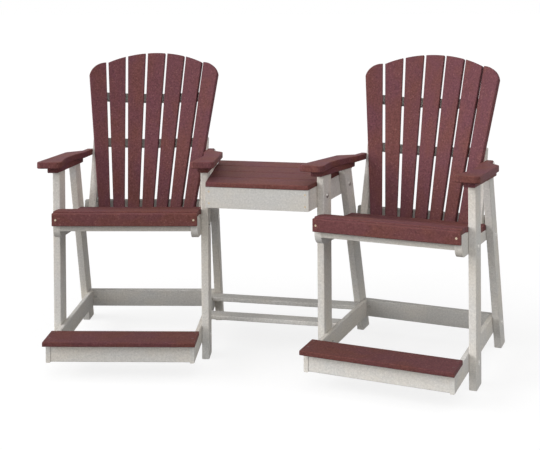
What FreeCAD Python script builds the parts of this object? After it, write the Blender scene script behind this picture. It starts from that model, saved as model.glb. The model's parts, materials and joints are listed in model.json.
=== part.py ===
import FreeCAD, Part
import math
import os
from FreeCAD import Vector

# Companion seat bench: two fan-back balcony chairs turned towards each other,
# joined by a slatted table and two low stretchers.
# Units are millimetres. Each chair is drawn in its own frame: X to its side,
# Y from the front face of the front legs towards the back, Z up from the floor.

# Lumber
leg_thickness = 31.75
front_leg_width = 88.9
rear_leg_width = 82.5
seat_rail_thickness = 28.6
slat_thickness = 22.2
arm_thickness = 27.0
light_board_thickness = 19.05
eased_edge = 2.5
seat_clearance = 0.3

# How the two chairs stand to each other
chair_turn = 10.4
chair_offset = 569.0
frame_width = 609.6

# The front of the seat rails, which the seat, back, arms and table are set from
seat_height = 640.5

# Rear legs lean back to the feet; the bolt at the seat rail is behind their centre line
rear_leg_lean = 17.0
rear_leg_offset = 4.7

# Arms: the tops fall towards the back; widths are from the legs' inner faces
arm_rise = 229.5
arm_front_reach = 112.0
arm_rear_setback = 12.0
arm_fall = 3.7
arm_front_inside_reach = 32.3
arm_front_overhang = 70.2
arm_rear_overhang = 61.2
arm_shoulder_y = 322.0
arm_neck_width = 31.8
arm_neck_y = 398.0
arm_scoop_depth = 21.0
arm_scoop_front_y = -72.0
arm_front_radius = 22.0
arm_shoulder_radius = 26.0
arm_neck_radius = 9.0
cleat_height = 25.4
cleat_width = 47.0
cleat_front_reach = 45.0
cleat_rear_y = 375.0

# Seat: the contour is a crest that turns down and a dip that levels out
seat_front_reach = 132.0
contour_front_slope = 1.5
contour_steepest = 19.4
contour_rear_slope = 4.5
crest_radius = 585.0
dip_radius = 775.0
seat_slat_count = 7
seat_slat_width = 62.0
seat_slat_gap = 5.5
fascia_height = 53.0
fascia_drop = 4.7
rail_front_height = 92.5
rail_bottom_fall = 4.25
rail_nose_radius = 48.0
rail_rear_y = 455.0
cross_member_height = 61.0

# Back: seven tapered slats on a cylinder that leans back; levels go up the lean,
# and the outermost slats stand in from the frame's sides below and past them above
back_recline = 21.0
back_radius = 876.0
back_face_y = 438.0
back_face_rise = 39.5
back_slat_count = 7
slat_low_level = -110.0
slat_high_level = 640.0
slat_low_width = 53.5
slat_high_width = 87.0
slat_low_inset = 77.05
slat_high_overhang = 31.2
slat_foot_level = -150.0
fan_top_level = 643.0
fan_top_radius = 500.0
fan_shoulder_rise = 4.0
fan_shoulder_fall = 58.0
fan_shoulder_bulge = 17.5
brace_depth = 44.0
brace_height = 36.0
top_brace_level = 420.0
top_brace_end_inset = 20.8
middle_brace_level = 195.0
lower_brace_step = 4.6
lower_brace_height = 31.75
upright_lean = 20.0
upright_front_y = 458.0
upright_front_rise = 144.5
upright_width = 31.75
upright_depth = 38.1
upright_above_arm = 10.0
upright_top_bevel = 4.0

# Footrest and lower frame
foot_rail_height = 76.2
foot_rail_top_z = 146.75
foot_rail_front_reach = 233.6
foot_board_width = 139.7
foot_board_front_reach = 265.0
foot_board_overhang = 5.7
foot_fascia_height = 73.0
foot_fascia_recess = 2.0
cross_rail_thickness = 31.75
stretcher_width = 63.5
front_stretcher_y = 222.5
rear_stretcher_clearance = 1.0

# Table between the chairs, in the object's own X and Y
table_front_y = -34.0
table_slat_count = 4
table_slat_width = 131.0
table_slat_gap = 3.2
table_below_arms = 106.5
table_side_clearance = 1.5
apron_height = 88.9
apron_front_y = -30.0
side_apron_thickness = 31.75
rear_apron_inset = 24.0

# Carriage bolts, their nuts and the wood screws, turned with a few flat facets
bolt_facets = 10
screw_facets = 8
bolt_diameter = 9.5
bolt_hole_clearance = 0.4
bolt_head_diameter = 22.0
bolt_head_height = 5.0
bolt_shoulder_height = 3.3
bolt_shoulder_diameter = 16.0
bolt_crown_diameter = 7.0
nut_across_flats = 16.0
nut_sides = 6
nut_height = 8.0
barrel_nut_diameter = 15.0
barrel_nut_from_leg = 30.0
barrel_nut_drop = 31.75
arm_lag_length = 56.0
seat_bolt_y = 42.0
seat_bolt_rise = 29.0
back_bolt_rise = 26.0
foot_bolt_rise = 29.5
screw_head_diameter = 9.0
screw_length = 38.0
screw_shank_diameter = 4.5
screw_head_depth = 3.0
screw_end_distance = 15.0
screw_row_inset = 20.0

# Cutting shapes run this far past the faces they cut
cut_margin = 1.0

# How near in angle and place an edge has to be to one that is looked for
edge_angle = 2.5
edge_distance = 1.0

# Worked out from the sizes above
TURN = math.radians(chair_turn)
RECLINE = math.radians(back_recline)
half_frame = frame_width / 2
leg_outside = half_frame + leg_thickness
rail_inside = half_frame - seat_rail_thickness
foot_rail_inside = half_frame - light_board_thickness
upright_inside = rail_inside - upright_width
neck_outside = rail_inside + arm_neck_width
arm_front_inside = half_frame - arm_front_inside_reach
arm_front_outside = half_frame + arm_front_overhang
arm_rear_outside = half_frame + arm_rear_overhang
top_brace_half_length = half_frame - top_brace_end_inset
fascia_back_y = slat_thickness - seat_front_reach
leg_slope = math.tan(math.radians(rear_leg_lean))
rear_leg_run = rear_leg_width / math.cos(math.radians(rear_leg_lean))
arm_slope = math.tan(math.radians(arm_fall))
upright_slope = math.tan(math.radians(upright_lean))
upright_run = upright_depth / math.cos(math.radians(upright_lean))
rail_slope = math.tan(math.radians(rail_bottom_fall))
arm_front_height = seat_height + arm_rise
fascia_top_z = seat_height + slat_thickness - fascia_drop
back_face_z = seat_height + back_face_rise
upright_front_z = seat_height + upright_front_rise
upright_top_z = arm_front_height + upright_above_arm
foot_rail_bottom_z = foot_rail_top_z - foot_rail_height
foot_board_back_y = foot_board_width - foot_board_front_reach
foot_fascia_front_y = foot_fascia_recess - foot_rail_front_reach
table_underside_z = arm_front_height - table_below_arms
apron_bottom_z = table_underside_z - apron_height
X_AXIS = Vector(1, 0, 0)
Y_AXIS = Vector(0, 1, 0)
Z_AXIS = Vector(0, 0, 1)
UP_THE_BACK = Vector(0, math.sin(RECLINE), math.cos(RECLINE))
BEHIND_THE_BACK = Vector(0, math.cos(RECLINE), -math.sin(RECLINE))
last_slat = back_slat_count - 1
slat_low_pitch = (2 * (half_frame - slat_low_inset) - slat_low_width) / last_slat
slat_high_pitch = (2 * (half_frame + slat_high_overhang) - slat_high_width) / last_slat
slat_taper = (slat_high_width - slat_low_width) / (slat_high_level - slat_low_level) / 2
slat_half_foot = slat_low_width / 2 + slat_taper * (slat_foot_level - slat_low_level)

# Boards that the wood screws go through or end in
SCREWED_BOARDS = ("seat_fascia", "seat_rail", "footrest_board", "foot_rail",
                  "front_apron", "left_apron", "right_apron")

ALONG_COSINE = math.cos(math.radians(edge_angle))


def arm_top_at(y):
    """Height of the arm's upper face at the depth y."""
    return arm_front_height - arm_slope * (y + arm_front_reach)


def cleat_bottom_at(y):
    """Height at which the legs meet the arm cleats."""
    drop = (arm_thickness + cleat_height) / math.cos(math.radians(arm_fall))
    return arm_top_at(y) - drop


def upright_front(z):
    return upright_front_y + upright_slope * (z - upright_front_z)


def rail_bottom_at(y):
    return seat_height - rail_front_height - rail_slope * (y - fascia_back_y)


# Places of the bolts, and what is lined up with them
seat_bolt_z = rail_bottom_at(seat_bolt_y) + seat_bolt_rise
foot_bolt_z = foot_rail_bottom_z + foot_bolt_rise
barrel_nut_z = foot_rail_top_z - barrel_nut_drop
back_bolt_z = rail_bottom_at(rail_rear_y) + back_bolt_rise
back_bolt_y = upright_front(back_bolt_z) + upright_run / 2
rear_leg_foot_y = back_bolt_y + leg_slope * back_bolt_z - rear_leg_run / 2 - rear_leg_offset


def rear_leg_front(z):
    return rear_leg_foot_y - leg_slope * z


rear_bolt_y = rear_leg_front(barrel_nut_z) + rear_leg_run / 2
cross_rail_front_y = rear_bolt_y - cross_rail_thickness / 2
arm_neck_z = arm_top_at(upright_front(arm_front_height)) - arm_thickness / 2
arm_rear_y = upright_front(arm_neck_z) + upright_run - arm_rear_setback


def prism(points, direction):
    """A solid from a closed outline of straight edges."""
    wire = Part.makePolygon(points + [points[0]])
    return Part.Face(wire).extrude(direction)


def side_profile(outline, x0, x1):
    """A board whose outline is given in Y and Z, from x0 to x1."""
    points = [Vector(x0, y, z) for y, z in outline]
    return prism(points, Vector(x1 - x0, 0, 0))


def box(x0, x1, y0, y1, z0, z1):
    corner = Vector(min(x0, x1), min(y0, y1), min(z0, z1))
    return Part.makeBox(abs(x1 - x0), abs(y1 - y0), abs(z1 - z0), corner)


def edges_along(shape, unit):
    """The straight edges of a shape that run along a direction."""
    chosen = []
    for edge in shape.Edges:
        if not isinstance(edge.Curve, Part.Line):
            continue
        run = edge.Vertexes[1].Point - edge.Vertexes[0].Point
        if abs(run.normalize().dot(unit)) > ALONG_COSINE:
            chosen.append(edge)
    return chosen


def ease(shape, direction):
    """Take off the edges that run along the given direction."""
    unit = Vector(direction).normalize()
    return shape.makeChamfer(eased_edge, edges_along(shape, unit))


def round_corners(shape, places, radius, unit):
    """Round the edges along a direction that pass by one of the places."""
    chosen = []
    for edge in edges_along(shape, unit):
        offsets = [edge.Vertexes[0].Point - place for place in places]
        distances = [(offset - unit * offset.dot(unit)).Length for offset in offsets]
        if min(distances) < edge_distance:
            chosen.append(edge)
    return shape.makeFillet(radius, chosen)


def faceted(start, direction, profile, facets):
    """A small turned form with flat facets, from (distance, radius) pairs."""
    axis = Vector(direction).normalize()
    side = Z_AXIS if abs(axis.x) > ALONG_COSINE else X_AXIS
    side = (side - axis * side.dot(axis)).normalize()
    across = axis.cross(side)
    rings = []
    for distance, radius in profile:
        ring = []
        for step in range(facets):
            angle = 2 * math.pi * (step + 0.5) / facets
            spoke = side * math.cos(angle) + across * math.sin(angle)
            ring.append(start + axis * distance + spoke * radius)
        rings.append(ring)
    faces = [Part.Face(Part.makePolygon(ring + [ring[0]])) for ring in (rings[0], rings[-1])]
    for low, high in zip(rings[:-1], rings[1:]):
        for step in range(facets):
            after = (step + 1) % facets
            corners = [low[step], low[after], high[after], high[step]]
            faces.append(Part.Face(Part.makePolygon(corners + [corners[0]])))
    solid = Part.Solid(Part.Shell(faces))
    if solid.Volume < 0:
        solid.reverse()
    return solid


# Carriage bolts run along X in the chair's frame
def bolt(head_x, end_x, y, z):
    """A domed bolt from the face at head_x to the end of its shank at end_x."""
    out = 1 if head_x > end_x else -1
    shank = bolt_diameter / 2
    profile = [
        (-abs(head_x - end_x), shank), (0, shank), (0, bolt_head_diameter / 2),
        (bolt_shoulder_height, bolt_shoulder_diameter / 2),
        (bolt_head_height, bolt_crown_diameter / 2),
    ]
    return faceted(Vector(head_x, y, z), X_AXIS * out, profile, bolt_facets)


def hex_nut(face_x, out, y, z):
    """A nut that sits on the face at face_x and points to the side out."""
    radius = nut_across_flats / 2 / math.cos(math.pi / nut_sides)
    profile = [(0, radius), (nut_height, radius)]
    nut = faceted(Vector(face_x, y, z), X_AXIS * out, profile, nut_sides)
    return nut.cut(bolt_bore(face_x, face_x + out * nut_height, y, z, bolt_diameter / 2))


def bolt_bore(x0, x1, y, z, radius):
    """What a bore of this radius takes out between two depths along X."""
    start = Vector(min(x0, x1) - cut_margin, y, z)
    length = abs(x1 - x0) + 2 * cut_margin
    return faceted(start, X_AXIS, [(0, radius), (length, radius)], bolt_facets)


def bolt_hole(x0, x1, y, z):
    return bolt_bore(x0, x1, y, z, bolt_diameter / 2 + bolt_hole_clearance)


def screw(head_point, inward):
    """A countersunk wood screw whose head is flush at head_point."""
    profile = [
        (0, screw_head_diameter / 2), (screw_head_depth, screw_shank_diameter / 2),
        (screw_length, screw_shank_diameter / 2),
    ]
    return faceted(head_point, inward, profile, screw_facets)


# Seat contour: points at the undersides of the slats
def contour_point(length):
    """Place and slope angle of the seat contour, this far along it."""
    crest_turn = math.radians(contour_steepest - contour_front_slope)
    dip_turn = math.radians(contour_steepest - contour_rear_slope)
    start = math.radians(contour_front_slope)
    steep = math.radians(contour_steepest)
    y, z = fascia_back_y, seat_height
    crest_length = crest_radius * crest_turn
    here = min(length, crest_length)
    angle = start + here / crest_radius
    y += crest_radius * (math.sin(angle) - math.sin(start))
    z -= crest_radius * (math.cos(start) - math.cos(angle))
    if length > crest_length:
        here = min(length - crest_length, dip_radius * dip_turn)
        angle = steep - here / dip_radius
        y += dip_radius * (math.sin(steep) - math.sin(angle))
        z -= dip_radius * (math.cos(angle) - math.cos(steep))
        past = length - crest_length - dip_radius * dip_turn
        if past > 0:
            y += past * math.cos(angle)
            z -= past * math.sin(angle)
    return y, z


def seat_slat_feet():
    """The two lower corners of each seat slat, on the contour."""
    feet = []
    length = seat_clearance
    for _ in range(seat_slat_count):
        y0, z0 = contour_point(length)
        y1, z1 = contour_point(length + seat_slat_width)
        feet.append(((y0, z0), (y1, z1)))
        length += seat_slat_width + seat_slat_gap
    return feet


# The lower brace lies a step above the rear end of the contour
lower_brace_z = seat_slat_feet()[-1][1][1] + lower_brace_step


def seat_slats():
    """Seat slats lie flat on the rails, flush with their outer faces."""
    slats = []
    for (y0, z0), (y1, z1) in seat_slat_feet():
        run = Vector(0, y1 - y0, z1 - z0).normalize()
        up = Vector(0, -run.z, run.y) * slat_thickness
        outline = [(y0, z0), (y1, z1), (y1 + up.y, z1 + up.z), (y0 + up.y, z0 + up.z)]
        slats.append(ease(side_profile(outline, -half_frame, half_frame), X_AXIS))
    return slats


def seat_rail(side):
    """Rail with the seat contour on top and a rounded nose in front."""
    top = [point for pair in seat_slat_feet() for point in pair]
    top[0] = (fascia_back_y, seat_height)
    last_y, last_z = top[-1]
    top.append((last_y + seat_slat_gap, last_z))
    outline = top + [
        (upright_front(lower_brace_z), lower_brace_z),
        (rail_rear_y, lower_brace_z),
        (rail_rear_y, rail_bottom_at(rail_rear_y)),
        (fascia_back_y, rail_bottom_at(fascia_back_y)),
    ]
    rail = side_profile(outline, side * rail_inside, side * half_frame)
    nose = Vector(side * half_frame, fascia_back_y, rail_bottom_at(fascia_back_y))
    rail = round_corners(rail, [nose], rail_nose_radius, X_AXIS)
    holes = [
        bolt_hole(rail_inside * side, half_frame * side, seat_bolt_y, seat_bolt_z),
        bolt_hole(rail_inside * side, half_frame * side, back_bolt_y, back_bolt_z),
    ]
    return rail.cut(Part.makeCompound(holes))


def seat_fascia():
    return ease(box(-half_frame, half_frame, -seat_front_reach, fascia_back_y,
                    fascia_top_z - fascia_height, fascia_top_z), X_AXIS)


def seat_cross_member():
    """Light board behind the fascia; its top follows the first seat slat."""
    (y0, z0), (y1, z1) = seat_slat_feet()[0]
    back_y = fascia_back_y + slat_thickness
    slope = (z1 - z0) / (y1 - y0)
    outline = [
        (fascia_back_y, z0),
        (back_y, z0 + slope * (back_y - y0)),
        (back_y, z0 - cross_member_height),
        (fascia_back_y, z0 - cross_member_height),
    ]
    return side_profile(outline, -rail_inside, rail_inside)


# Legs
def front_leg(side, bolts):
    outline = [
        (0, 0), (front_leg_width, 0),
        (front_leg_width, cleat_bottom_at(front_leg_width)), (0, cleat_bottom_at(0)),
    ]
    leg = ease(side_profile(outline, side * half_frame, side * leg_outside), Z_AXIS)
    for y, z in bolts:
        leg = leg.cut(bolt_hole(side * half_frame, side * leg_outside, y, z))
    return leg


def rear_leg_top(reach):
    """Where a line of the rear leg, this far behind its front, meets the cleat."""
    # The line y = foot + reach - slope * z meets the cleat's underside
    foot = rear_leg_foot_y + reach
    z = (cleat_bottom_at(0) - arm_slope * foot) / (1 - arm_slope * leg_slope)
    return foot - leg_slope * z, z


def rear_leg(side, bolts):
    outline = [
        (rear_leg_foot_y, 0), (rear_leg_foot_y + rear_leg_run, 0),
        rear_leg_top(rear_leg_run), rear_leg_top(0),
    ]
    leg = side_profile(outline, side * half_frame, side * leg_outside)
    leg = ease(leg, Vector(0, -leg_slope, 1))
    for y, z in bolts:
        leg = leg.cut(bolt_hole(side * half_frame, side * leg_outside, y, z))
    return leg


# Arms
def lay_on_arm_plane(shape):
    """Tip a shape drawn level at the arm's front height down to the back."""
    shape.rotate(Vector(0, -arm_front_reach, arm_front_height), X_AXIS, -arm_fall)
    return shape


def arm(side):
    """Arm board: rounded front, scooped inner edge, stepped neck at the back."""
    def at(x, y):
        return Vector(side * x, y, arm_front_height)

    scoop_rear_y = arm_shoulder_y + arm_neck_radius
    middle_y = (arm_scoop_front_y + scoop_rear_y) / 2
    middle_x = (arm_front_inside + rail_inside) / 2 + arm_scoop_depth
    front_in = at(arm_front_inside, -arm_front_reach)
    front_out = at(arm_front_outside, -arm_front_reach)
    shoulder = at(arm_rear_outside, arm_shoulder_y)
    neck = at(neck_outside, arm_neck_y)
    rear_out = at(neck_outside, arm_rear_y)
    rear_in = at(rail_inside, arm_rear_y)
    scoop_rear = at(rail_inside, scoop_rear_y)
    scoop_front = at(arm_front_inside, arm_scoop_front_y)
    edges = [
        Part.makeLine(front_in, front_out),
        Part.makeLine(front_out, shoulder),
        Part.makeLine(shoulder, neck),
        Part.makeLine(neck, rear_out),
        Part.makeLine(rear_out, rear_in),
        Part.makeLine(rear_in, scoop_rear),
        Part.Arc(scoop_rear, at(middle_x, middle_y), scoop_front).toShape(),
        Part.makeLine(scoop_front, front_in),
    ]
    board = Part.Face(Part.Wire(edges)).extrude(Z_AXIS * -arm_thickness)
    board = round_corners(board, [front_in, front_out], arm_front_radius, Z_AXIS)
    board = round_corners(board, [shoulder], arm_shoulder_radius, Z_AXIS)
    board = round_corners(board, [neck, rear_out], arm_neck_radius, Z_AXIS)
    rims = [edge for edge in board.Edges if edge.BoundBox.ZLength < edge_distance]
    board = lay_on_arm_plane(board.makeChamfer(eased_edge, rims))
    y, z = arm_bolt_place()
    return board.cut(bolt_hole(side * rail_inside, side * neck_outside, y, z))


def arm_bolt_place():
    """The bolt through the arm's neck is centred on the upright's depth."""
    z = arm_top_at(arm_rear_y) - arm_thickness / 2
    y = min(upright_front(z) + upright_run / 2, arm_rear_y - bolt_head_diameter / 2)
    return y, arm_top_at(y) - arm_thickness / 2


def arm_cleat(side):
    middle = half_frame + leg_thickness / 2
    top = arm_front_height - arm_thickness
    cleat = box(side * (middle - cleat_width / 2), side * (middle + cleat_width / 2),
                -cleat_front_reach, cleat_rear_y, top - cleat_height, top)
    return lay_on_arm_plane(ease(cleat, Y_AXIS))


# Back
def back_point(across, level):
    """Point on the curved front of the back, so far round and up the lean."""
    phi = across / back_radius
    x = back_radius * math.sin(phi)
    forward = back_radius * (1 - math.cos(phi))
    y = back_face_y + level * math.sin(RECLINE) - forward * math.cos(RECLINE)
    z = back_face_z + level * math.cos(RECLINE) + forward * math.sin(RECLINE)
    return Vector(x, y, z)


def slat_centre(index, level):
    """How far round the curve a slat's centre line is at a level."""
    share = (level - slat_low_level) / (slat_high_level - slat_low_level)
    pitch = slat_low_pitch + share * (slat_high_pitch - slat_low_pitch)
    return (index - last_slat / 2) * pitch


def slat_frame(index):
    """Foot point, axes and lean angle of one flat slat."""
    low = slat_centre(index, slat_foot_level)
    high = slat_centre(index, slat_high_level)
    foot = back_point(low, slat_foot_level)
    along = (back_point(high, slat_high_level) - foot).normalize()
    phi = (low + high) / 2 / back_radius
    rear = X_AXIS * math.sin(phi) + BEHIND_THE_BACK * math.cos(phi)
    rear = (rear - along * rear.dot(along)).normalize()
    across = along.cross(rear).normalize()
    if across.x < 0:
        across = across * -1
    lean = math.atan2(high - low, slat_high_level - slat_foot_level)
    return foot, along, across, rear, lean


# The tops of the slats, in a slat's own axes: sideways and up from its foot
def fan_centre(index):
    """Centre of the arc that the tops of the whole fan are cut on."""
    lean = slat_frame(index)[-1]
    sideways = -slat_centre(index, slat_foot_level)
    upward = fan_top_level - fan_top_radius - slat_foot_level
    return (sideways * math.cos(lean) - upward * math.sin(lean),
            sideways * math.sin(lean) + upward * math.cos(lean))


def slat_edge(sign, up):
    """Point of the slat's tapered edge on one side, at a height."""
    return sign * (slat_half_foot + slat_taper * up), up


def slat_edge_top(index, sign):
    """Where the slat's tapered edge meets the fan's arc."""
    centre_side, centre_up = fan_centre(index)
    # The edge's points lie at the arc's radius where a t^2 + b t + c = 0
    start = sign * slat_half_foot - centre_side
    a = 1 + slat_taper ** 2
    b = 2 * (sign * slat_taper * start - centre_up)
    c = start ** 2 + centre_up ** 2 - fan_top_radius ** 2
    return slat_edge(sign, (-b + math.sqrt(b * b - 4 * a * c)) / (2 * a))


def fan_top(index):
    """Left corner, crown and right corner of a slat's top on the fan's arc."""
    left = slat_edge_top(index, -1)
    right = slat_edge_top(index, 1)
    centre_side, centre_up = fan_centre(index)
    side = (left[0] + right[0]) / 2
    rise = math.sqrt(fan_top_radius ** 2 - (side - centre_side) ** 2)
    return left, (side, centre_up + rise), right


def shoulder_top(index):
    """The same for an outermost slat, which has a rounded shoulder of its own."""
    out = -1 if index == 0 else 1
    high = slat_edge_top(index, -out)[1] + fan_shoulder_rise
    inside = Vector(*slat_edge(-out, high))
    outside = Vector(*slat_edge(out, high - fan_shoulder_fall))
    chord = outside - inside
    bulge = Vector(-chord.y * out, chord.x * out).normalize() * fan_shoulder_bulge
    crown = (inside + outside) / 2 + bulge
    left, right = (outside, inside) if out < 0 else (inside, outside)
    return (left.x, left.y), (crown.x, crown.y), (right.x, right.y)


def back_slat(index):
    """One tapered slat with a curved top and an eased front rim."""
    foot, along, across, rear, _ = slat_frame(index)
    outermost = index in (0, last_slat)
    top = shoulder_top(index) if outermost else fan_top(index)
    foot_corners = [slat_edge(-1, 0), slat_edge(1, 0)]
    points = [foot + across * side + along * up for side, up in [*foot_corners, *top]]
    foot_left, foot_right, left, crown, right = points
    edges = [
        Part.makeLine(foot_left, foot_right),
        Part.makeLine(foot_right, right),
        Part.Arc(right, crown, left).toShape(),
        Part.makeLine(left, foot_left),
    ]
    slat = Part.Face(Part.Wire(edges)).extrude(rear * slat_thickness)
    front_rim = []
    for edge in slat.Edges:
        depths = [(vertex.Point - foot).dot(rear) for vertex in edge.Vertexes]
        if max(depths) < slat_thickness / 2:
            front_rim.append(edge)
    return slat.makeChamfer(eased_edge, front_rim)


def rear_line(index):
    """Point and normal, in X and depth behind the curve, of a slat's rear."""
    foot, _, _, rear, _ = slat_frame(index)
    normal = (rear.x, rear.dot(BEHIND_THE_BACK))
    point = foot + rear * slat_thickness
    behind = (point - Vector(0, back_face_y, back_face_z)).dot(BEHIND_THE_BACK)
    return (point.x, behind), normal


def rear_line_at(index, x):
    (px, pn), (nx, nn) = rear_line(index)
    return pn - nx * (x - px) / nn


def rear_facets(half_length):
    """Front outline of a brace: one flat for each slat it carries."""
    points = [(-half_length, rear_line_at(0, -half_length))]
    for index in range(last_slat):
        (ax, an), (anx, ann) = rear_line(index)
        (bx, bn), (bnx, bnn) = rear_line(index + 1)
        slope_a = -anx / ann
        slope_b = -bnx / bnn
        x = (bn - an + slope_a * ax - slope_b * bx) / (slope_a - slope_b)
        points.append((x, an + slope_a * (x - ax)))
    points.append((half_length, rear_line_at(last_slat, half_length)))
    return points


def curved_brace(half_length, level, height):
    """Brace cut to the curve of the back, flat against each slat."""
    base = Vector(0, back_face_y, back_face_z) + UP_THE_BACK * (level - height / 2)

    def place(x, behind):
        return base + X_AXIS * x + BEHIND_THE_BACK * behind

    facets = rear_facets(half_length)
    front = [place(x, behind) for x, behind in facets]
    end_rear = facets[0][1] + brace_depth
    middle_rear = rear_line_at(last_slat // 2, 0) + brace_depth
    right_rear = place(half_length, end_rear)
    left_rear = place(-half_length, end_rear)
    rear_middle = place(0, middle_rear)
    edges = [Part.makeLine(a, b) for a, b in zip(front[:-1], front[1:])]
    edges.append(Part.makeLine(front[-1], right_rear))
    edges.append(Part.Arc(right_rear, rear_middle, left_rear).toShape())
    edges.append(Part.makeLine(left_rear, front[0]))
    return Part.Face(Part.Wire(edges)).extrude(UP_THE_BACK * height)


def lower_back_brace():
    """Level board on the rails, bevelled to the slats and notched at the uprights."""
    # A leaning wedge behind the slats, taller than the level board cut from it
    wedge_height = 4 * lower_brace_height
    level = (lower_brace_z - back_face_z) / math.cos(RECLINE) - wedge_height / 2
    base = Vector(0, back_face_y, back_face_z) + UP_THE_BACK * level
    facets = rear_facets(half_frame)
    outline = [base + X_AXIS * x + BEHIND_THE_BACK * behind for x, behind in facets]
    past_the_rails = BEHIND_THE_BACK * rail_rear_y
    outline += [outline[-1] + past_the_rails, outline[0] + past_the_rails]
    wedge = prism(outline, UP_THE_BACK * wedge_height)
    brace = wedge.common(box(-half_frame, half_frame, 0, rail_rear_y,
                             lower_brace_z, lower_brace_z + lower_brace_height))
    low = lower_brace_z - cut_margin
    high = lower_brace_z + lower_brace_height + cut_margin
    notch = [
        (0, low), (upright_front(low) + upright_run, low),
        (upright_front(high) + upright_run, high), (0, high),
    ]
    for side in (-1, 1):
        outside = half_frame + cut_margin
        brace = brace.cut(side_profile(notch, side * upright_inside, side * outside))
    return brace


def before_slat_rear(index):
    """The space that a slat takes, and all that lies in front of it."""
    foot, along, across, rear, _ = slat_frame(index)
    reach = slat_high_level - slat_foot_level
    start = foot - (across + rear) * reach / 2
    corners = [start, start + across * reach, start + (across + along) * reach,
               start + along * reach]
    return prism(corners, rear * (slat_thickness + reach / 2))


def back_upright(side):
    """Leaning post behind the outer slats, from the seat rail to above the arm."""
    bottom = rail_bottom_at(back_bolt_y)
    outline = [
        (upright_front(bottom), bottom),
        (upright_front(bottom) + upright_run, bottom),
        (upright_front(upright_top_z) + upright_run, upright_top_z),
        (upright_front(upright_top_z), upright_top_z),
    ]
    post = side_profile(outline, side * upright_inside, side * rail_inside)
    top_edges = [edge for edge in post.Edges
                 if edge.BoundBox.ZMin > upright_top_z - edge_distance]
    post = post.makeChamfer(upright_top_bevel, top_edges)
    # The front is bevelled where the outermost slat lies against it
    post = post.cut(before_slat_rear(0 if side < 0 else last_slat))
    y, z = arm_bolt_place()
    lag_end = neck_outside - arm_lag_length
    post = post.cut(bolt_hole(side * lag_end, side * rail_inside, y, z))
    return post.cut(bolt_hole(side * upright_inside, side * rail_inside, back_bolt_y, back_bolt_z))


# Footrest and lower frame
def foot_rail(side):
    rail = box(side * foot_rail_inside, side * half_frame, -foot_rail_front_reach,
               cross_rail_front_y, foot_rail_bottom_z, foot_rail_top_z)
    hole = bolt_hole(side * foot_rail_inside, side * half_frame, seat_bolt_y, foot_bolt_z)
    return ease(rail, Y_AXIS).cut(hole)


def barrel_nut_place(side):
    x = side * (half_frame - barrel_nut_from_leg)
    return Vector(x, cross_rail_front_y, barrel_nut_z)


def rear_cross_rail():
    rail = box(-half_frame, half_frame, cross_rail_front_y,
               cross_rail_front_y + cross_rail_thickness, foot_rail_bottom_z, foot_rail_top_z)
    rail = ease(rail, X_AXIS)
    for side in (-1, 1):
        place = barrel_nut_place(side)
        rail = rail.cut(barrel_nut_body(side))
        rail = rail.cut(bolt_hole(place.x, side * half_frame, rear_bolt_y, barrel_nut_z))
    return rail


def barrel_nut_body(side):
    profile = [(0, barrel_nut_diameter / 2), (cross_rail_thickness, barrel_nut_diameter / 2)]
    return faceted(barrel_nut_place(side), Y_AXIS, profile, bolt_facets)


def barrel_nut(side):
    """Cross dowel in the rear rail that the bolt through the rear leg ends in."""
    middle = half_frame - barrel_nut_from_leg
    bore = bolt_bore(side * middle, side * (middle + barrel_nut_diameter),
                     rear_bolt_y, barrel_nut_z, bolt_diameter / 2)
    return barrel_nut_body(side).cut(bore)


def footrest_board():
    half = half_frame + foot_board_overhang
    return ease(box(-half, half, -foot_board_front_reach, foot_board_back_y,
                    foot_rail_top_z, foot_rail_top_z + light_board_thickness), X_AXIS)


def footrest_fascia():
    back_y = foot_fascia_front_y + light_board_thickness
    return ease(box(-foot_rail_inside, foot_rail_inside, foot_fascia_front_y, back_y,
                    foot_rail_top_z - foot_fascia_height, foot_rail_top_z), X_AXIS)


# From a chair's frame to the object's frame
def to_object(shape, chair):
    """Turn and move a chair's shape; chair is -1 for the left, 1 for the right."""
    placed = shape.copy()
    placed.rotate(Vector(0, 0, 0), Z_AXIS, -chair * chair_turn)
    placed.translate(Vector(chair * chair_offset, 0, 0))
    return placed


def inner_line(across, y):
    """Distance from the middle of the line across = constant on the inner side."""
    return chair_offset - (across - y * math.sin(TURN)) / math.cos(TURN)


def between_chairs(across, y0, y1, z0, z1):
    """Board between the chairs with both ends cut to the line across."""
    outline = []
    for x_sign, y in ((-1, y0), (1, y0), (1, y1), (-1, y1)):
        outline.append(Vector(x_sign * inner_line(across, y), y, z0))
    return prism(outline, Z_AXIS * (z1 - z0))


def rear_stretcher_back():
    """The rear stretcher's back edge clears the inner rear legs."""
    leg_y = rear_leg_front(foot_rail_top_z)
    corner = half_frame * math.sin(TURN) + leg_y * math.cos(TURN)
    return corner - rear_stretcher_clearance


def stretcher(back_y):
    board = between_chairs(half_frame, back_y - stretcher_width, back_y,
                           foot_rail_top_z - light_board_thickness, foot_rail_top_z)
    return ease(board, X_AXIS)


def table_slats():
    slats = []
    across = leg_outside + table_side_clearance
    top = table_underside_z + light_board_thickness
    for index in range(table_slat_count):
        y = table_front_y + index * (table_slat_width + table_slat_gap)
        board = between_chairs(across, y, y + table_slat_width, table_underside_z, top)
        slats.append(ease(board, X_AXIS))
    return slats


def table_back_y():
    return table_front_y + table_slat_count * (table_slat_width + table_slat_gap) - table_slat_gap


def front_apron():
    return between_chairs(leg_outside, apron_front_y, apron_front_y + light_board_thickness,
                          apron_bottom_z, table_underside_z)


def rear_apron_front():
    return table_back_y() - rear_apron_inset - light_board_thickness


def rear_apron():
    across = leg_outside + side_apron_thickness
    y = rear_apron_front()
    return between_chairs(across, y, y + light_board_thickness, apron_bottom_z, table_underside_z)


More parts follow.
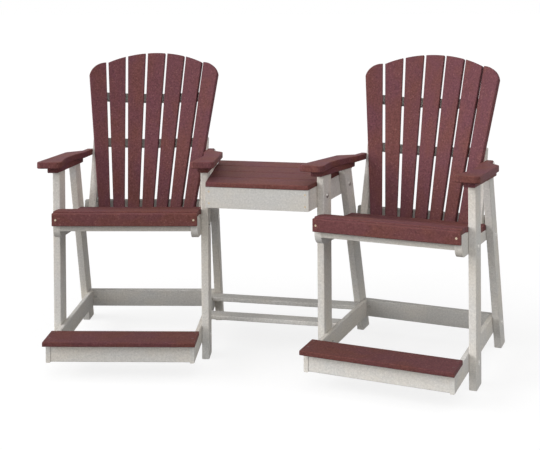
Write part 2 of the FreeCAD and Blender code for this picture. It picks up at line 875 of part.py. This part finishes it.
def side_apron(chair):
    """Board bolted to the chair's inner legs, in the object's frame."""
    y0 = apron_front_y + light_board_thickness
    y1 = rear_apron_front() + light_board_thickness
    outline = []
    for across, y in ((leg_outside, y0), (leg_outside, y1),
                      (leg_outside + side_apron_thickness, y1),
                      (leg_outside + side_apron_thickness, y0)):
        outline.append(Vector(chair * inner_line(across, y), y, apron_bottom_z))
    board = prism(outline, Z_AXIS * apron_height)
    inner = -chair
    for y, z in apron_bolts():
        hole = bolt_hole(inner * leg_outside, inner * (leg_outside + side_apron_thickness), y, z)
        board = board.cut(to_object(hole, chair))
    return board


def apron_bolts():
    """Depth and height of the bolts through the inner legs and the side apron."""
    z = apron_bottom_z + apron_height / 2
    return [(front_leg_width / 2, z), (rear_leg_front(z) + rear_leg_run / 2, z)]


def screw_places():
    """Heads of the wood screws that show, as point, direction and chair."""
    places = []
    fascia_z = fascia_top_z - fascia_height / 2
    board_top = foot_rail_top_z + light_board_thickness
    board_rows = (foot_board_back_y - screw_row_inset, foot_fascia_front_y + screw_row_inset)
    for chair in (-1, 1):
        for side in (-1, 1):
            x = side * (half_frame - screw_end_distance)
            places.append((Vector(x, -seat_front_reach, fascia_z), Y_AXIS, chair))
            x = side * (half_frame - light_board_thickness / 2)
            for y in board_rows:
                places.append((Vector(x, y, board_top), Z_AXIS * -1, chair))
    for side in (-1, 1):
        x = side * (inner_line(leg_outside, apron_front_y) - screw_end_distance)
        for z in (table_underside_z - screw_row_inset, apron_bottom_z + screw_row_inset):
            places.append((Vector(x, apron_front_y, z), Y_AXIS, 0))
    return places


def screws():
    """All wood screws in the object's frame."""
    solids = []
    for point, inward, chair in screw_places():
        solid = screw(point, inward)
        solids.append(to_object(solid, chair) if chair else solid)
    return solids


# One chair in its own frame
def side_boards(side, inner):
    """The boards on one side of a chair, by name."""
    front_bolts = [(seat_bolt_y, seat_bolt_z), (seat_bolt_y, foot_bolt_z)]
    rear_bolts = [(back_bolt_y, back_bolt_z), (rear_bolt_y, barrel_nut_z)]
    if inner:
        front_bolts.append(apron_bolts()[0])
        rear_bolts.append(apron_bolts()[1])
    return {
        "front_leg": front_leg(side, front_bolts),
        "rear_leg": rear_leg(side, rear_bolts),
        "seat_rail": seat_rail(side),
        "arm": arm(side),
        "arm_cleat": arm_cleat(side),
        "back_upright": back_upright(side),
        "foot_rail": foot_rail(side),
    }


def cross_boards():
    """The boards that cross a chair, by name, each a list of solids."""
    return {
        "top_back_brace": [curved_brace(top_brace_half_length, top_brace_level, brace_height)],
        "middle_back_brace": [curved_brace(upright_inside, middle_brace_level, brace_height)],
        "lower_back_brace": [lower_back_brace()],
        "seat_fascia": [seat_fascia()],
        "seat_cross_member": [seat_cross_member()],
        "rear_cross_rail": [rear_cross_rail()],
        "footrest_board": [footrest_board()],
        "footrest_fascia": [footrest_fascia()],
        "seat_slats": seat_slats(),
        "back_slats": [back_slat(index) for index in range(back_slat_count)],
    }


def side_fasteners(side, inner):
    """Bolts and nuts on one side of a chair."""
    # From the face under the head to the face under the nut
    through = [
        (leg_outside, rail_inside, seat_bolt_y, seat_bolt_z),
        (leg_outside, foot_rail_inside, seat_bolt_y, foot_bolt_z),
        (leg_outside, upright_inside, back_bolt_y, back_bolt_z),
    ]
    if inner:
        apron_face = leg_outside + side_apron_thickness
        through += [(half_frame, apron_face, y, z) for y, z in apron_bolts()]
    bolts, nuts = [], []
    for head_x, nut_x, y, z in through:
        out = math.copysign(1, nut_x - head_x)
        bolts.append(bolt(side * head_x, side * (nut_x + out * nut_height), y, z))
        nuts.append(hex_nut(side * nut_x, side * out, y, z))
    # The arm's lag bolt ends in the upright, the rear rail's bolt in its barrel nut
    y, z = arm_bolt_place()
    bolts.append(bolt(side * neck_outside, side * (neck_outside - arm_lag_length), y, z))
    barrel_x = half_frame - barrel_nut_from_leg
    bolts.append(bolt(side * leg_outside, side * barrel_x, rear_bolt_y, barrel_nut_z))
    return bolts, nuts


def chair_nodes(chair, word):
    """A chair's boards by node name, in the object's frame."""
    nodes = {}
    for side in (-1, 1):
        inner = side == -chair
        place = "inner" if inner else "outer"
        for name, board in side_boards(side, inner).items():
            nodes[f"{word}_{name}_{place}"] = [to_object(board, chair)]
    for name, boards in cross_boards().items():
        nodes[f"{word}_{name}"] = [to_object(board, chair) for board in boards]
    return nodes


def fastener_nodes():
    """Bolts and nuts of both chairs and the table, in the object's frame."""
    nodes = {"carriage_bolts": [], "bolt_nuts": [], "barrel_nuts": []}
    for chair in (-1, 1):
        for side in (-1, 1):
            bolts, nuts = side_fasteners(side, side == -chair)
            nodes["carriage_bolts"] += [to_object(solid, chair) for solid in bolts]
            nodes["bolt_nuts"] += [to_object(solid, chair) for solid in nuts]
            nodes["barrel_nuts"].append(to_object(barrel_nut(side), chair))
    return nodes


def table_nodes():
    return {
        "table_slats": table_slats(),
        "table_front_apron": [front_apron()],
        "table_rear_apron": [rear_apron()],
        "table_left_apron": [side_apron(-1)],
        "table_right_apron": [side_apron(1)],
        "front_stretcher": [stretcher(front_stretcher_y + stretcher_width / 2)],
        "rear_stretcher": [stretcher(rear_stretcher_back())],
    }


def build():
    """All nodes by name, each a list of solids in the object's frame."""
    nodes = chair_nodes(-1, "left_chair") | chair_nodes(1, "right_chair") | table_nodes()
    wood_screws = screws()
    screw_cuts = Part.makeCompound(wood_screws)
    for name in nodes:
        if any(board in name for board in SCREWED_BOARDS):
            nodes[name] = [solid.cut(screw_cuts) for solid in nodes[name]]
    nodes |= fastener_nodes()
    nodes["wood_screws"] = wood_screws
    return nodes


def main():
    nodes = build()
    everything = Part.makeCompound([s for solids in nodes.values() for s in solids])
    bounds = everything.optimalBoundingBox(False)
    # The origin goes to the middle of the footprint, on the floor
    shift = Vector(-bounds.Center.x, -bounds.Center.y, -bounds.ZMin)
    os.makedirs("parts", exist_ok=True)
    for name, solids in nodes.items():
        flat = [solid for shape in solids for solid in shape.Solids]
        shape = flat[0] if len(flat) == 1 else Part.makeCompound(flat)
        shape.translate(shift)
        shape.exportStep(f"parts/{name}.step")
    print(len(nodes), "nodes", round(bounds.XLength), round(bounds.YLength), round(bounds.ZLength))


main()
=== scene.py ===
import json
import math
import random

import bmesh
import bpy
import numpy as np
from mathutils import Matrix, Vector

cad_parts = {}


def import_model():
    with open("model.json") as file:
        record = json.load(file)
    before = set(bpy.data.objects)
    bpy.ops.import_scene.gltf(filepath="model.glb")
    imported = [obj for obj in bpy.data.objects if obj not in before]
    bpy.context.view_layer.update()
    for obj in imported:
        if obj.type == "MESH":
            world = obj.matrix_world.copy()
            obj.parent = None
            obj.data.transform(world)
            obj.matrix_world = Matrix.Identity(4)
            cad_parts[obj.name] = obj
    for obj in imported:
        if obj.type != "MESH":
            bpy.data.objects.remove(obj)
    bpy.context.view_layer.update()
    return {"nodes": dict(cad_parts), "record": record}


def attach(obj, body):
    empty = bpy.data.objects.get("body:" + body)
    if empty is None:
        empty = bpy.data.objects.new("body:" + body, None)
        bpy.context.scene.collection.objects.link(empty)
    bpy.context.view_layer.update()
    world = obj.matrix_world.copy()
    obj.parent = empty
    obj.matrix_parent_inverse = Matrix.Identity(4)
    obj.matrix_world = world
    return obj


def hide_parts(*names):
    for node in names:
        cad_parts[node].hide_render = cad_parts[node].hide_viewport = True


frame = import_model()
bpy.context.view_layer.update()
random.seed(7)

# Vertices nearer than this are one, and a profile's point nearer to the axis is on it
WELD = 1e-6
ON_AXIS = 1e-7
# Faces within the first angle are one flat, and edges over the second one get rounded
ONE_FLAT = math.radians(0.4)
SHARP_EDGE = math.radians(24)
# The most that an edge is rounded: very short edges clamp the whole board to less
EDGE_ROUND = 0.0011

# How far a board's own grain may start from the next board's, and how its tone varies
GRAIN_SHIFT = (0, 9)
TONE_RANGE = (0.965, 1.035)

# Most of a noise's values lie in this range
NOISE_SPAN = (0.3, 0.7)


# Materials
def srgb(red, green, blue):
    """A colour of 0 to 255 steps as the linear colour a shader takes."""
    out = []
    for value in (red, green, blue):
        value /= 255
        out.append(value / 12.92 if value <= 0.04045 else ((value + 0.055) / 1.055) ** 2.4)
    return (*out, 1.0)


class Nodes:
    """A node tree, emptied and built by short calls."""

    def __init__(self, tree):
        self.tree = tree
        tree.nodes.clear()

    def put(self, value, socket):
        """Give a socket its own value, or link an output to it."""
        if isinstance(value, (int, float, tuple)):
            socket.default_value = value
        else:
            self.tree.links.new(value, socket)

    def add(self, kind, inputs=(), **settings):
        """A new node with its settings and with pairs of a socket's key and value."""
        node = self.tree.nodes.new(kind)
        for key, value in settings.items():
            setattr(node, key, value)
        for key, value in inputs:
            self.put(value, node.inputs[key])
        return node

    def attribute(self, name, output):
        return self.add("ShaderNodeAttribute", attribute_name=name).outputs[output]

    def stretched(self, vector, scale):
        return self.add("ShaderNodeVectorMath", ((0, vector), (1, scale)),
                        operation="MULTIPLY").outputs[0]

    def noise(self, vector, scale, detail=2.0, roughness=0.5):
        return self.add("ShaderNodeTexNoise", (
            ("Scale", scale), ("Detail", detail), ("Roughness", roughness),
            ("Vector", vector))).outputs["Fac"]

    def ranged(self, value, low, high, to_low=0.0, to_high=1.0):
        return self.add("ShaderNodeMapRange", (
            ("Value", value), ("From Min", low), ("From Max", high), ("To Min", to_low),
            ("To Max", to_high))).outputs[0]

    def maths(self, kind, first, second):
        return self.add("ShaderNodeMath", ((0, first), (1, second)), operation=kind).outputs[0]

    def mix(self, factor, first, second, kind="MIX"):
        """A mix of two colours: sockets 6 and 7 of the node are its colours."""
        return self.add("ShaderNodeMix", ((0, factor), (6, first), (7, second)),
                        data_type="RGBA", blend_type=kind).outputs[2]

    def bump(self, height, strength, distance):
        return self.add("ShaderNodeBump", (
            ("Strength", strength), ("Distance", distance), ("Height", height)))

    def seen(self):
        """1 for the camera and for reflections, 0 for other rays."""
        ray = self.add("ShaderNodeLightPath")
        return self.maths("MAXIMUM", ray.outputs["Is Camera Ray"], ray.outputs["Is Glossy Ray"])


class Surface(Nodes):
    """A material's nodes, with its shader and output in place."""

    def __init__(self, name):
        self.material = bpy.data.materials.new(name)
        self.material.use_nodes = True
        super().__init__(self.material.node_tree)
        self.output = self.add("ShaderNodeOutputMaterial")
        self.shader = self.add("ShaderNodeBsdfPrincipled")
        self.put(self.shader.outputs[0], self.output.inputs[0])

    def set(self, key, value):
        self.put(value, self.shader.inputs[key])

    def raise_by(self, *layers):
        """Bump the surface by layers of (height, strength, distance), each on the last."""
        below = None
        for layer in layers:
            node = self.bump(*layer)
            if below:
                self.put(below, node.inputs["Normal"])
            below = node.outputs[0]
        self.set("Normal", below)


def lumber(name, plain, warm, cool, speck, speck_share, depth, roughness):
    """Poly lumber: mottled in large soft patches and speckled all over.

    depth is how strongly the speckle darkens and lightens the colour. A noise with three
    scales is stretched along the board.
    """
    n = Surface(name)
    grain = n.attribute("grain", "Vector")
    clouds = n.noise(n.stretched(grain, (5.0, 8.0, 8.0)), 1.0, 3.0, 0.55)
    patches = n.noise(n.stretched(grain, (11.0, 17.0, 17.0)), 1.0, 2.0)
    streaks = n.noise(n.stretched(grain, (16.0, 300.0, 300.0)), 1.0, 3.0, 0.6)
    speckle = n.noise(grain, 130.0, 2.0, 0.7)
    pebbles = n.noise(grain, 420.0, 3.0, 0.65)
    dots = n.noise(grain, 170.0, 1.0)

    hue = n.maths("ADD", n.ranged(clouds, 0.38, 0.62, -0.5, 0.5), n.attribute("warmth", "Fac"))
    colour = n.mix(n.ranged(hue, 0.0, 1.0), cool, warm)
    colour = n.mix(n.ranged(patches, 0.35, 0.65, 0.0, 0.4), colour, plain)
    colour = n.mix(n.ranged(dots, 0.62, 0.74, 0.0, speck_share), colour, speck)
    light = n.ranged(speckle, *NOISE_SPAN, 1 - depth, 1 + depth)
    # The tone attribute darkens each board by its random tone times its kind's painted shade.
    for factor in (n.ranged(pebbles, *NOISE_SPAN, 1 - depth / 2, 1 + depth / 2),
                   n.ranged(streaks, *NOISE_SPAN, 0.98, 1.02), n.attribute("tone", "Fac")):
        light = n.maths("MULTIPLY", light, factor)
    shade = n.add("ShaderNodeCombineColor", ((0, light), (1, light), (2, light)))
    n.set("Base Color", n.mix(1.0, colour, shade.outputs[0], "MULTIPLY"))
    n.set("Roughness", n.ranged(pebbles, *NOISE_SPAN, roughness - 0.07, roughness + 0.07))
    n.set("Specular IOR Level", 0.12)
    n.raise_by((streaks, 0.06, 0.0005), (speckle, 0.15, 0.0006), (pebbles, 0.25, 0.0004))
    return n.material


def steel(name, dull, bright):
    """Plated steel with a faint turned finish and dulled patches."""
    n = Surface(name)
    coords = n.add("ShaderNodeTexCoord").outputs["Object"]
    patches = n.noise(coords, 180.0, 3.0, 0.6)
    fine = n.noise(coords, 1600.0, 2.0, 0.6)
    n.set("Base Color", n.mix(n.ranged(patches, 0.35, 0.65), dull, bright))
    n.set("Metallic", 1.0)
    n.set("Roughness", n.ranged(fine, *NOISE_SPAN, 0.3, 0.48))
    n.raise_by((fine, 0.15, 0.0002))
    return n.material


def coated(name, dull, bright):
    """The coating of deck screws, worn and slightly patchy."""
    n = Surface(name)
    coords = n.add("ShaderNodeTexCoord").outputs["Object"]
    patches = n.noise(coords, 260.0, 3.0, 0.6)
    n.set("Base Color", n.mix(n.ranged(patches, 0.35, 0.65), dull, bright))
    n.set("Metallic", 0.2)
    n.set("Roughness", n.ranged(patches, *NOISE_SPAN, 0.35, 0.5))
    n.raise_by((n.noise(coords, 1500.0, 2.0), 0.1, 0.0002))
    return n.material


MAROON = lumber("maroon_lumber", plain=srgb(103, 62, 63), warm=srgb(106, 64, 58),
                cool=srgb(101, 61, 68), speck=srgb(158, 112, 106), speck_share=0.35,
                depth=0.26, roughness=0.7)
GREY = lumber("grey_lumber", plain=srgb(214, 209, 202), warm=srgb(216, 210, 200),
              cool=srgb(209, 207, 203), speck=srgb(235, 232, 227), speck_share=0.4,
              depth=0.11, roughness=0.66)
STEEL = steel("plated_steel", dull=srgb(166, 164, 159), bright=srgb(198, 196, 191))
TAN = coated("tan_screws", dull=srgb(196, 178, 150), bright=srgb(216, 202, 178))
RED = coated("red_screws", dull=srgb(88, 52, 50), bright=srgb(104, 66, 62))
BOARD_MATERIAL = {"maroon_lumber": MAROON, "grey_lumber": GREY}
slot_of = {part["node"]: part["material_slot"] for part in frame["record"]["subparts"]}


# Boards
def linked_groups(mesh):
    """The sets of vertices that edges join, one for each solid."""
    left = set(mesh.verts)
    groups = []
    while left:
        stack = [left.pop()]
        group = set(stack)
        while stack:
            for edge in stack.pop().link_edges:
                for vert in edge.verts:
                    if vert in left:
                        left.discard(vert)
                        group.add(vert)
                        stack.append(vert)
        groups.append(group)
    return groups


def solids_of(node):
    """The closed solids of a CAD node, each as a mesh of its own, in order of place."""
    whole = bmesh.new()
    source = frame["nodes"][node]
    whole.from_mesh(source.data)
    whole.transform(source.matrix_world)
    bmesh.ops.remove_doubles(whole, verts=whole.verts, dist=WELD)
    solids = []
    for group in linked_groups(whole):
        one = bmesh.new()
        copies = {vert: one.verts.new(vert.co) for vert in whole.verts if vert in group}
        for face in whole.faces:
            if face.verts[0] in group:
                one.faces.new([copies[vert] for vert in face.verts])
        solids.append(one)
    whole.free()
    solids.sort(key=lambda one: tuple(round(c, 3) for c in middle(one)))
    return solids


def middle(mesh):
    total = Vector()
    for vert in mesh.verts:
        total += vert.co
    return total / len(mesh.verts)


def board_axes(mesh):
    """Axes of a board: along its length, across its width, through its thickness."""
    spread = np.zeros((3, 3))
    for edge in mesh.edges:
        run = np.array(edge.verts[1].co - edge.verts[0].co)
        spread += np.linalg.norm(run) * np.outer(run, run)
    _, axes = np.linalg.eigh(spread)
    along, across = Vector(axes[:, 2]), Vector(axes[:, 1])
    if max(along, key=abs) < 0:
        along.negate()
    return along, across, along.cross(across)


def round_edges(mesh, width):
    """Join the faces of each flat, then ease every edge that the solid leaves sharp.

    clamp_overlap holds a board's width to what its shortest edges allow. That leaves the
    arms and the outermost back slats all but sharp.
    """
    bmesh.ops.dissolve_limit(mesh, angle_limit=ONE_FLAT, verts=mesh.verts,
                             edges=mesh.edges, delimit={"NORMAL"})
    sharp = [e for e in mesh.edges
             if len(e.link_faces) == 2 and e.calc_face_angle(0) > SHARP_EDGE]
    bmesh.ops.bevel(mesh, geom=sharp, offset=width, offset_type="OFFSET", segments=2,
                    profile=0.5, affect="EDGES", clamp_overlap=True, loop_slide=True)


def by_ending(node, values, otherwise):
    """The value of the first ending that the node's name has."""
    for ending, value in values.items():
        if node.endswith(ending):
            return value
    return otherwise


# Painted shade: how much darker each of these kinds of board is drawn, the braces, the seat's
# cross member, the rear cross rails, the footrests' boards and the front apron.
# The braces' tone makes up for shade in the photograph that the lamps here don't give.
PAINTED_SHADE = {"_brace": 0.6, "seat_cross_member": 0.78, "rear_cross_rail": 0.88,
         "footrest_board": 0.86, "front_apron": 0.86}
# Where each kind's hue lies between cool (0) and warm (1). The grey boards' hues are a painted
# tint of bounced light: warm under the seat, cool on the rails, stretchers and front apron.
HUES_AND_BOUNCE_TINT = {"back_slats": 0.3, "seat_fascia": 0.95, "seat_slats": 0.7, "table_slats": 0.7,
        "footrest_board": 0.8, "seat_cross_member": 1.0, "front_apron": 0.1,
        "cross_rail": 0.1, "stretcher": 0.1}


def write_attribute(data, name, kind, key, values):
    data.attributes.new(name, kind, "POINT")
    data.attributes[name].data.foreach_set(key, values)


def finish_mesh(mesh, name, node, material, smooth=35):
    """Make the piece of a mesh, with its grain and tone, and let it replace its node.

    smooth is the angle, in degrees, under which faces shade as one.
    """
    along, across, through = board_axes(mesh)
    centre = middle(mesh)
    offset = Vector([random.uniform(*GRAIN_SHIFT) for _ in range(3)])
    # A board's tone is its random tone times its kind's painted shade, and its hue takes in the
    # painted tint of bounced light.
    tone = by_ending(node, PAINTED_SHADE, 1.0) * random.uniform(*TONE_RANGE)
    hue = by_ending(node, HUES_AND_BOUNCE_TINT, 0.5)
    data = bpy.data.meshes.new(name)
    mesh.to_mesh(data)
    mesh.free()
    grain = []
    for vert in data.vertices:
        place = vert.co - centre
        board = Vector((place.dot(along), place.dot(across), place.dot(through)))
        grain.extend(offset + board)
    count = len(data.vertices)
    write_attribute(data, "grain", "FLOAT_VECTOR", "vector", grain)
    write_attribute(data, "tone", "FLOAT", "value", [tone] * count)
    write_attribute(data, "warmth", "FLOAT", "value", [hue] * count)
    data.materials.append(material)
    data.shade_smooth()
    data.set_sharp_from_angle(angle=math.radians(smooth))
    piece = link_object(name, data)
    flat = piece.modifiers.new("flat_faces", "WEIGHTED_NORMAL")
    flat.keep_sharp = True
    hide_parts(node)
    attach(piece, "root")


def link_object(name, data):
    obj = bpy.data.objects.new(name, data)
    bpy.context.scene.collection.objects.link(obj)
    return obj


def dress_boards(node):
    solids = solids_of(node)
    for number, mesh in enumerate(solids, 1):
        name = node + "_board" if len(solids) == 1 else f"{node}_{number}"
        round_edges(mesh, EDGE_ROUND)
        finish_mesh(mesh, name, node, BOARD_MATERIAL[slot_of[node]])


# Fasteners
def ring_at(mesh, place, steps, height, radius_at):
    """Points round the place's Z axis, at a radius that may vary with the angle."""
    ring = []
    for step in range(steps):
        angle = math.tau * step / steps
        radius = radius_at(angle)
        point = Vector((radius * math.cos(angle), radius * math.sin(angle), height))
        ring.append(mesh.verts.new(place @ point))
    return ring


def bridge(mesh, rings, steps):
    """Faces from each ring to the next, where a ring may also be a single point."""
    for low, high in zip(rings[:-1], rings[1:]):
        for step in range(steps):
            after = (step + 1) % steps
            corners = [low[step % len(low)], low[after % len(low)],
                       high[after % len(high)], high[step % len(high)]]
            mesh.faces.new(list(dict.fromkeys(corners)))


def lathe(mesh, place, profile, steps=28):
    """Turn a profile of (radius, height) points about the place's Z axis."""
    rings = []
    for radius, height in profile:
        if radius < ON_AXIS:
            rings.append([mesh.verts.new(place @ Vector((0, 0, height)))])
        else:
            rings.append(ring_at(mesh, place, steps, height, lambda angle: radius))
    bridge(mesh, rings, steps)


def prism_ring(mesh, place, sides, flat_to_flat, heights, corner_cut):
    """A nut's body: a prism with its corners turned away at both ends."""
    corner = flat_to_flat / 2 / math.cos(math.pi / sides)
    steps = sides * 4
    rings = []
    low, high = heights
    for height, limit in ((low, flat_to_flat / 2), (low + corner_cut, corner),
                          (high - corner_cut, corner), (high, flat_to_flat / 2)):
        def radius_at(angle):
            turn = (angle % (math.tau / sides)) - math.pi / sides
            return min(flat_to_flat / 2 / math.cos(turn), limit)

        rings.append(ring_at(mesh, place, steps, height, radius_at))
    bridge(mesh, rings, steps)
    mesh.faces.new(rings[-1])
    mesh.faces.new(list(reversed(rings[0])))


# The share of a fastener's length in which its end's width is measured
END_SHARE = 0.3


def axis_place(mesh_solid):
    """Frame of a turned solid: Z along its axis towards its wide end, and its ends.

    The frame stands in the middle of the solid's box. Where a fastener with a head lies
    slanted, that is beside its axis: the bolts end up 2.6 mm off, and some screws 1 mm.
    """
    points = [vert.co.copy() for vert in mesh_solid.verts]
    centre = (Vector(map(min, zip(*points))) + Vector(map(max, zip(*points)))) / 2
    spread = np.cov(np.array([tuple(p - centre) for p in points]).T)
    values, axes = np.linalg.eigh(spread)
    gaps = (values[1] - values[0], values[2] - values[1])
    axis = Vector(axes[:, 2] if gaps[1] > gaps[0] else axes[:, 0])
    heights = [(p - centre).dot(axis) for p in points]
    low, high = min(heights), max(heights)

    def reach(end):
        near = [p for p, h in zip(points, heights) if abs(h - end) < END_SHARE * (high - low)]
        return max((p - centre - axis * (p - centre).dot(axis)).length for p in near)

    if reach(low) > reach(high):
        axis.negate()
        low, high = -high, -low
    side = axis.orthogonal().normalized()
    turn = Matrix((side, axis.cross(side), axis)).transposed().to_4x4()
    return Matrix.Translation(centre) @ turn, low, high


def places_of(node):
    """The frame and the two ends of each fastener of a node."""
    for solid in solids_of(node):
        found = axis_place(solid)
        solid.free()
        yield found


def dome(radius, height, rows=6):
    """Profile of a ball's cap, from its rim to its top."""
    ball = (radius ** 2 + height ** 2) / (2 * height)
    widest = math.asin(radius / ball)
    out = []
    for row in range(rows + 1):
        angle = widest * (1 - row / rows)
        out.append((ball * math.sin(angle), ball * math.cos(angle) - (ball - height)))
    return out


def dress_bolts():
    """Carriage bolts: a smooth shank with an eased tip under a low dome."""
    shank, tip, tip_ease = 0.00475, 0.0042, 0.0006
    head, head_depth, dome_height = 0.011, 0.005, 0.0044
    under_head, under_ease, rim = 0.0106, 0.0003, 0.0006
    mesh = bmesh.new()
    for place, low, high in places_of("carriage_bolts"):
        seat = high - head_depth
        cap = [(r, seat + rim + h) for r, h in dome(head, dome_height)]
        lathe(mesh, place, [(0.0, low), (tip, low), (shank, low + tip_ease), (shank, seat),
                            (under_head, seat), (head, seat + under_ease)] + cap)
    finish_mesh(mesh, "carriage_bolt_set", "carriage_bolts", STEEL, smooth=50)


def dress_nuts():
    """Six-sided nuts, solid where the CAD ones have their bore."""
    mesh = bmesh.new()
    for place, low, high in places_of("bolt_nuts"):
        prism_ring(mesh, place, sides=6, flat_to_flat=0.016, heights=(low, high),
                   corner_cut=0.0009)
    finish_mesh(mesh, "bolt_nut_set", "bolt_nuts", STEEL, smooth=30)


def dress_barrels():
    """Barrel nuts with chamfered ends, also without their bore."""
    radius, end_radius, chamfer = 0.0075, 0.007, 0.0005
    mesh = bmesh.new()
    for place, low, high in places_of("barrel_nuts"):
        lathe(mesh, place, [(0.0, low), (end_radius, low), (radius, low + chamfer),
                            (radius, high - chamfer), (end_radius, high), (0.0, high)])
    finish_mesh(mesh, "barrel_nut_set", "barrel_nuts", STEEL, smooth=30)


def dress_screws():
    """Tan screws in the upright boards and red ones in the footrests, which face up."""
    shank, point, cone = 0.0022, 0.004, 0.003
    under_rim, rim, rim_depth = 0.0044, 0.00445, 0.0004
    recess, recess_floor, wall_depth, recess_depth = 0.0021, 0.0018, 0.0014, 0.0016
    sets = {"tan": (bmesh.new(), TAN), "red": (bmesh.new(), RED)}
    for place, low, high in places_of("wood_screws"):
        faces_up = (place.to_3x3() @ Vector((0, 0, 1))).z > 0.5
        lathe(sets["red" if faces_up else "tan"][0], place, [
            (0.0, low), (shank, low + point), (shank, high - cone),
            (under_rim, high - rim_depth), (rim, high), (recess, high),
            (recess_floor, high - wall_depth), (0.0, high - recess_depth)], steps=24)
    for colour, (mesh, material) in sets.items():
        finish_mesh(mesh, f"wood_screw_set_{colour}", "wood_screws", material, smooth=40)


FASTENERS = {"carriage_bolts": dress_bolts, "bolt_nuts": dress_nuts,
             "barrel_nuts": dress_barrels, "wood_screws": dress_screws}
for node in sorted(frame["nodes"]):
    if node in FASTENERS:
        FASTENERS[node]()
    else:
        dress_boards(node)


# Floor, light and camera
def floor(albedo, glow_level):
    """Plain floor: it glows white to the eye and to reflections, and keeps shadows."""
    side, front, back = 40, -40, 60
    data = bpy.data.meshes.new("studio_floor")
    data.from_pydata([(-side, front, 0), (side, front, 0), (side, back, 0), (-side, back, 0)],
                     [], [(0, 1, 2, 3)])
    obj = link_object("studio_floor", data)
    n = Surface("studio_floor")
    n.set("Base Color", (albedo, albedo, albedo, 1))
    n.set("Roughness", 0.9)
    n.set("Specular IOR Level", 0.0)
    glow = n.add("ShaderNodeEmission", (
        ("Color", (1, 1, 1, 1)), ("Strength", n.maths("MULTIPLY", n.seen(), glow_level))))
    total = n.add("ShaderNodeAddShader", ((0, n.shader.outputs[0]), (1, glow.outputs[0])))
    n.put(total.outputs[0], n.output.inputs[0])
    data.materials.append(n.material)


def world(level):
    """Even light from all round; the camera and reflections see plain white."""
    made = bpy.data.worlds.new("studio")
    bpy.context.scene.world = made
    made.use_nodes = True
    n = Nodes(made.node_tree)
    back = n.add("ShaderNodeBackground", (
        ("Color", (1, 1, 1, 1)), ("Strength", n.ranged(n.seen(), 0.0, 1.0, level, 1.0))))
    n.add("ShaderNodeOutputWorld", ((0, back.outputs[0]),))


def lamp(name, azimuth, elevation, spread, level):
    """Soft light from a direction; a level of 1 shows a colour as written.

    azimuth is from the front towards the right and elevation above the floor, in
    degrees, and spread is how wide the light looks from the object.
    """
    data = bpy.data.lights.new(name, "SUN")
    data.angle = math.radians(spread)
    data.energy = math.pi * level
    side, rise = math.radians(azimuth), math.radians(elevation)
    towards = Vector((math.sin(side) * math.cos(rise), -math.cos(side) * math.cos(rise),
                      math.sin(rise)))
    link_object(name, data).rotation_euler = towards.to_track_quat("Z", "Y").to_euler()


# The fitted camera: its angles in degrees, and the rest in pixels of the photograph
YAW, PITCH, ROLL = 12.070, -0.757, 0.376
STANDS_AT = (1.0363, -4.1414, 1.5813)
PHOTO_WIDTH, PHOTO_HEIGHT = 540, 450
FOCAL_LENGTH = 979.012
AXIS_X, AXIS_Y = 301.4, 4.3
SENSOR_WIDTH = 36.0


def camera():
    """The photograph's camera, with its level view and lowered frame."""
    right, down, forward = camera_axes(*map(math.radians, (YAW, PITCH, ROLL)))
    data = bpy.data.cameras.new("photo_camera")
    data.sensor_fit = "HORIZONTAL"
    data.sensor_width = SENSOR_WIDTH
    data.lens = FOCAL_LENGTH / PHOTO_WIDTH * SENSOR_WIDTH
    data.shift_x = -(AXIS_X - PHOTO_WIDTH / 2) / PHOTO_WIDTH
    data.shift_y = (AXIS_Y - PHOTO_HEIGHT / 2) / PHOTO_WIDTH
    data.clip_end = 200
    obj = link_object("photo_camera", data)
    turn = Matrix((right, -down, -forward)).transposed().to_4x4()
    obj.matrix_world = Matrix.Translation(STANDS_AT) @ turn
    bpy.context.scene.camera = obj


def camera_axes(yaw, pitch, roll):
    """The view's right, down and forward directions."""
    forward = Vector((-math.sin(yaw) * math.cos(pitch), math.cos(yaw) * math.cos(pitch),
                      math.sin(pitch)))
    right = Vector((math.cos(yaw), math.sin(yaw), 0))
    down = forward.cross(right)
    return (right * math.cos(roll) + down * math.sin(roll),
            down * math.cos(roll) - right * math.sin(roll), forward)


floor(albedo=0.22, glow_level=0.8)
world(level=0.37)
lamp("key", azimuth=-68, elevation=22, spread=45, level=0.84)
lamp("fill", azimuth=24, elevation=22, spread=140, level=0.66)
camera()
bpy.context.scene.view_settings.view_transform = "Standard"
